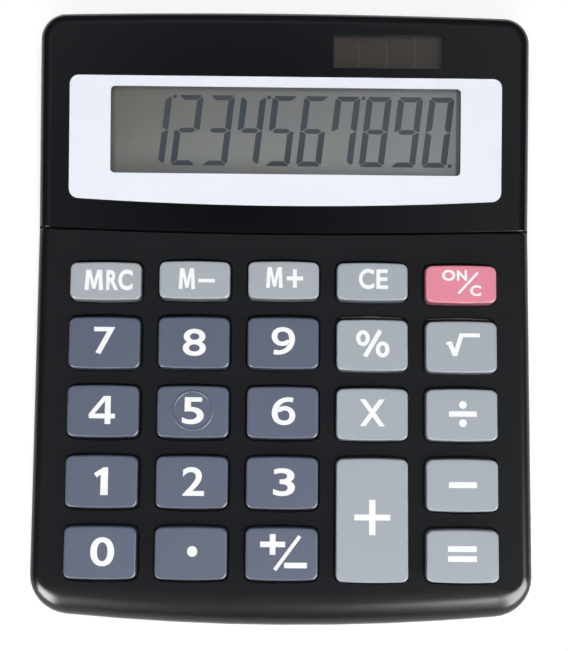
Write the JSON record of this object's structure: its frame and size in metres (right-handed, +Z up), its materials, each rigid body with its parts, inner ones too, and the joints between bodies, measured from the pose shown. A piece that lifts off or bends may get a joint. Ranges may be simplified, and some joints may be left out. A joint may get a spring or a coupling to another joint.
{
  "type": "desktop calculator",
  "caption": "Wedge-shaped desktop calculator with pressing keys, a raised liquid crystal display, a solar cell and a sliding battery cover.",
  "frame": {"origin": "on the table, under the middle of the body", "axes": "+X to the user's right, +Y to the rear where the display is, +Z up"},
  "size_m": [0.104, 0.128, 0.0221],
  "materials": {
    "case_black": "fine matt texture",
    "panel_black": "polished clear sheet, printed black on its back",
    "key_digit": "satin blue-grey",
    "key_light": "satin light grey",
    "key_memory": "satin light grey",
    "key_pink": "satin pink",
    "mat_rubber": "moulded silicone",
    "board": "bare laminate",
    "chip_epoxy": "black epoxy drop",
    "screw_steel": "zinc plated",
    "lcd_glass": "polarised glass",
    "reflector_film": "matt foil",
    "ribbon_film": "amber film",
    "solar_glass": "dark brown cell behind glass",
    "cell_steel": "polished steel can",
    "contact_steel": "plated spring strip",
    "wire_red": "insulated wire",
    "wire_black": "insulated wire",
    "foot_rubber": "matt black"
  },
  "bodies": {
    "case": {"top_case": "case_black", "bottom_case": "case_black", "display_panel": "panel_black", "key_mat": "mat_rubber", "circuit_board": "board", "chip_blob": "chip_epoxy", "board_screw_1": "screw_steel", "board_screw_2": "screw_steel", "board_screw_3": "screw_steel", "board_screw_4": "screw_steel", "board_screw_5": "screw_steel", "board_screw_6": "screw_steel", "lcd_front_glass": "lcd_glass", "lcd_rear_glass": "lcd_glass", "lcd_reflector": "reflector_film", "lcd_ribbon": "ribbon_film", "solar_cell": "solar_glass", "button_cell": "cell_steel", "battery_contact_plus": "contact_steel", "battery_contact_minus": "contact_steel", "battery_wire_plus": "wire_red", "solar_wire_plus": "wire_red", "battery_wire_minus": "wire_black", "solar_wire_minus": "wire_black", "case_screw_front_left": "screw_steel", "foot_front_left": "foot_rubber", "case_screw_front_right": "screw_steel", "foot_front_right": "foot_rubber", "case_screw_rear_left": "screw_steel", "foot_rear_left": "foot_rubber", "case_screw_rear_right": "screw_steel", "foot_rear_right": "foot_rubber"},
    "key_mrc": {"key_mrc": "key_memory"},
    "key_m_minus": {"key_m_minus": "key_memory"},
    "key_m_plus": {"key_m_plus": "key_memory"},
    "key_ce": {"key_ce": "key_light"},
    "key_on_c": {"key_on_c": "key_pink"},
    "key_7": {"key_7": "key_digit"},
    "key_8": {"key_8": "key_digit"},
    "key_9": {"key_9": "key_digit"},
    "key_percent": {"key_percent": "key_light"},
    "key_root": {"key_root": "key_light"},
    "key_4": {"key_4": "key_digit"},
    "key_5": {"key_5": "key_digit"},
    "key_6": {"key_6": "key_digit"},
    "key_multiply": {"key_multiply": "key_light"},
    "key_divide": {"key_divide": "key_light"},
    "key_1": {"key_1": "key_digit"},
    "key_2": {"key_2": "key_digit"},
    "key_3": {"key_3": "key_digit"},
    "key_plus": {"key_plus": "key_light"},
    "key_minus": {"key_minus": "key_light"},
    "key_0": {"key_0": "key_digit"},
    "key_point": {"key_point": "key_digit"},
    "key_sign": {"key_sign": "key_digit"},
    "key_equals": {"key_equals": "key_light"},
    "battery_cover": {"battery_cover": "case_black"}
  },
  "joints": [
    {"name": "key_mrc_press", "type": "slide", "parent": "case", "child": "key_mrc", "axis": [0, 0.061, -0.9981], "range_m": [0, 0.0012], "stiffness_N_per_m": 500, "springref_m": -0.0005, "deforming": ["key_mat"]},
    {"name": "key_m_minus_press", "type": "slide", "parent": "case", "child": "key_m_minus", "axis": [0, 0.061, -0.9981], "range_m": [0, 0.0012], "stiffness_N_per_m": 500, "springref_m": -0.0005, "deforming": ["key_mat"]},
    {"name": "key_m_plus_press", "type": "slide", "parent": "case", "child": "key_m_plus", "axis": [0, 0.061, -0.9981], "range_m": [0, 0.0012], "stiffness_N_per_m": 500, "springref_m": -0.0005, "deforming": ["key_mat"]},
    {"name": "key_ce_press", "type": "slide", "parent": "case", "child": "key_ce", "axis": [0, 0.061, -0.9981], "range_m": [0, 0.0012], "stiffness_N_per_m": 500, "springref_m": -0.0005, "deforming": ["key_mat"]},
    {"name": "key_on_c_press", "type": "slide", "parent": "case", "child": "key_on_c", "axis": [0, 0.061, -0.9981], "range_m": [0, 0.0012], "stiffness_N_per_m": 500, "springref_m": -0.0005, "deforming": ["key_mat"]},
    {"name": "key_7_press", "type": "slide", "parent": "case", "child": "key_7", "axis": [0, 0.061, -0.9981], "range_m": [0, 0.0012], "stiffness_N_per_m": 500, "springref_m": -0.0005, "deforming": ["key_mat"]},
    {"name": "key_8_press", "type": "slide", "parent": "case", "child": "key_8", "axis": [0, 0.061, -0.9981], "range_m": [0, 0.0012], "stiffness_N_per_m": 500, "springref_m": -0.0005, "deforming": ["key_mat"]},
    {"name": "key_9_press", "type": "slide", "parent": "case", "child": "key_9", "axis": [0, 0.061, -0.9981], "range_m": [0, 0.0012], "stiffness_N_per_m": 500, "springref_m": -0.0005, "deforming": ["key_mat"]},
    {"name": "key_percent_press", "type": "slide", "parent": "case", "child": "key_percent", "axis": [0, 0.061, -0.9981], "range_m": [0, 0.0012], "stiffness_N_per_m": 500, "springref_m": -0.0005, "deforming": ["key_mat"]},
    {"name": "key_root_press", "type": "slide", "parent": "case", "child": "key_root", "axis": [0, 0.061, -0.9981], "range_m": [0, 0.0012], "stiffness_N_per_m": 500, "springref_m": -0.0005, "deforming": ["key_mat"]},
    {"name": "key_4_press", "type": "slide", "parent": "case", "child": "key_4", "axis": [0, 0.061, -0.9981], "range_m": [0, 0.0012], "stiffness_N_per_m": 500, "springref_m": -0.0005, "deforming": ["key_mat"]},
    {"name": "key_5_press", "type": "slide", "parent": "case", "child": "key_5", "axis": [0, 0.061, -0.9981], "range_m": [0, 0.0012], "stiffness_N_per_m": 500, "springref_m": -0.0005, "deforming": ["key_mat"]},
    {"name": "key_6_press", "type": "slide", "parent": "case", "child": "key_6", "axis": [0, 0.061, -0.9981], "range_m": [0, 0.0012], "stiffness_N_per_m": 500, "springref_m": -0.0005, "deforming": ["key_mat"]},
    {"name": "key_multiply_press", "type": "slide", "parent": "case", "child": "key_multiply", "axis": [0, 0.061, -0.9981], "range_m": [0, 0.0012], "stiffness_N_per_m": 500, "springref_m": -0.0005, "deforming": ["key_mat"]},
    {"name": "key_divide_press", "type": "slide", "parent": "case", "child": "key_divide", "axis": [0, 0.061, -0.9981], "range_m": [0, 0.0012], "stiffness_N_per_m": 500, "springref_m": -0.0005, "deforming": ["key_mat"]},
    {"name": "key_1_press", "type": "slide", "parent": "case", "child": "key_1", "axis": [0, 0.061, -0.9981], "range_m": [0, 0.0012], "stiffness_N_per_m": 500, "springref_m": -0.0005, "deforming": ["key_mat"]},
    {"name": "key_2_press", "type": "slide", "parent": "case", "child": "key_2", "axis": [0, 0.061, -0.9981], "range_m": [0, 0.0012], "stiffness_N_per_m": 500, "springref_m": -0.0005, "deforming": ["key_mat"]},
    {"name": "key_3_press", "type": "slide", "parent": "case", "child": "key_3", "axis": [0, 0.061, -0.9981], "range_m": [0, 0.0012], "stiffness_N_per_m": 500, "springref_m": -0.0005, "deforming": ["key_mat"]},
    {"name": "key_plus_press", "type": "slide", "parent": "case", "child": "key_plus", "axis": [0, 0.061, -0.9981], "range_m": [0, 0.0012], "stiffness_N_per_m": 500, "springref_m": -0.0005, "deforming": ["key_mat"]},
    {"name": "key_minus_press", "type": "slide", "parent": "case", "child": "key_minus", "axis": [0, 0.061, -0.9981], "range_m": [0, 0.0012], "stiffness_N_per_m": 500, "springref_m": -0.0005, "deforming": ["key_mat"]},
    {"name": "key_0_press", "type": "slide", "parent": "case", "child": "key_0", "axis": [0, 0.061, -0.9981], "range_m": [0, 0.0012], "stiffness_N_per_m": 500, "springref_m": -0.0005, "deforming": ["key_mat"]},
    {"name": "key_point_press", "type": "slide", "parent": "case", "child": "key_point", "axis": [0, 0.061, -0.9981], "range_m": [0, 0.0012], "stiffness_N_per_m": 500, "springref_m": -0.0005, "deforming": ["key_mat"]},
    {"name": "key_sign_press", "type": "slide", "parent": "case", "child": "key_sign", "axis": [0, 0.061, -0.9981], "range_m": [0, 0.0012], "stiffness_N_per_m": 500, "springref_m": -0.0005, "deforming": ["key_mat"]},
    {"name": "key_equals_press", "type": "slide", "parent": "case", "child": "key_equals", "axis": [0, 0.061, -0.9981], "range_m": [0, 0.0012], "stiffness_N_per_m": 500, "springref_m": -0.0005, "deforming": ["key_mat"]},
    {"name": "battery_cover_slide", "type": "slide", "parent": "case", "child": "battery_cover", "axis": [0, 1, 0], "range_m": [0, 0.02]}
  ]
}
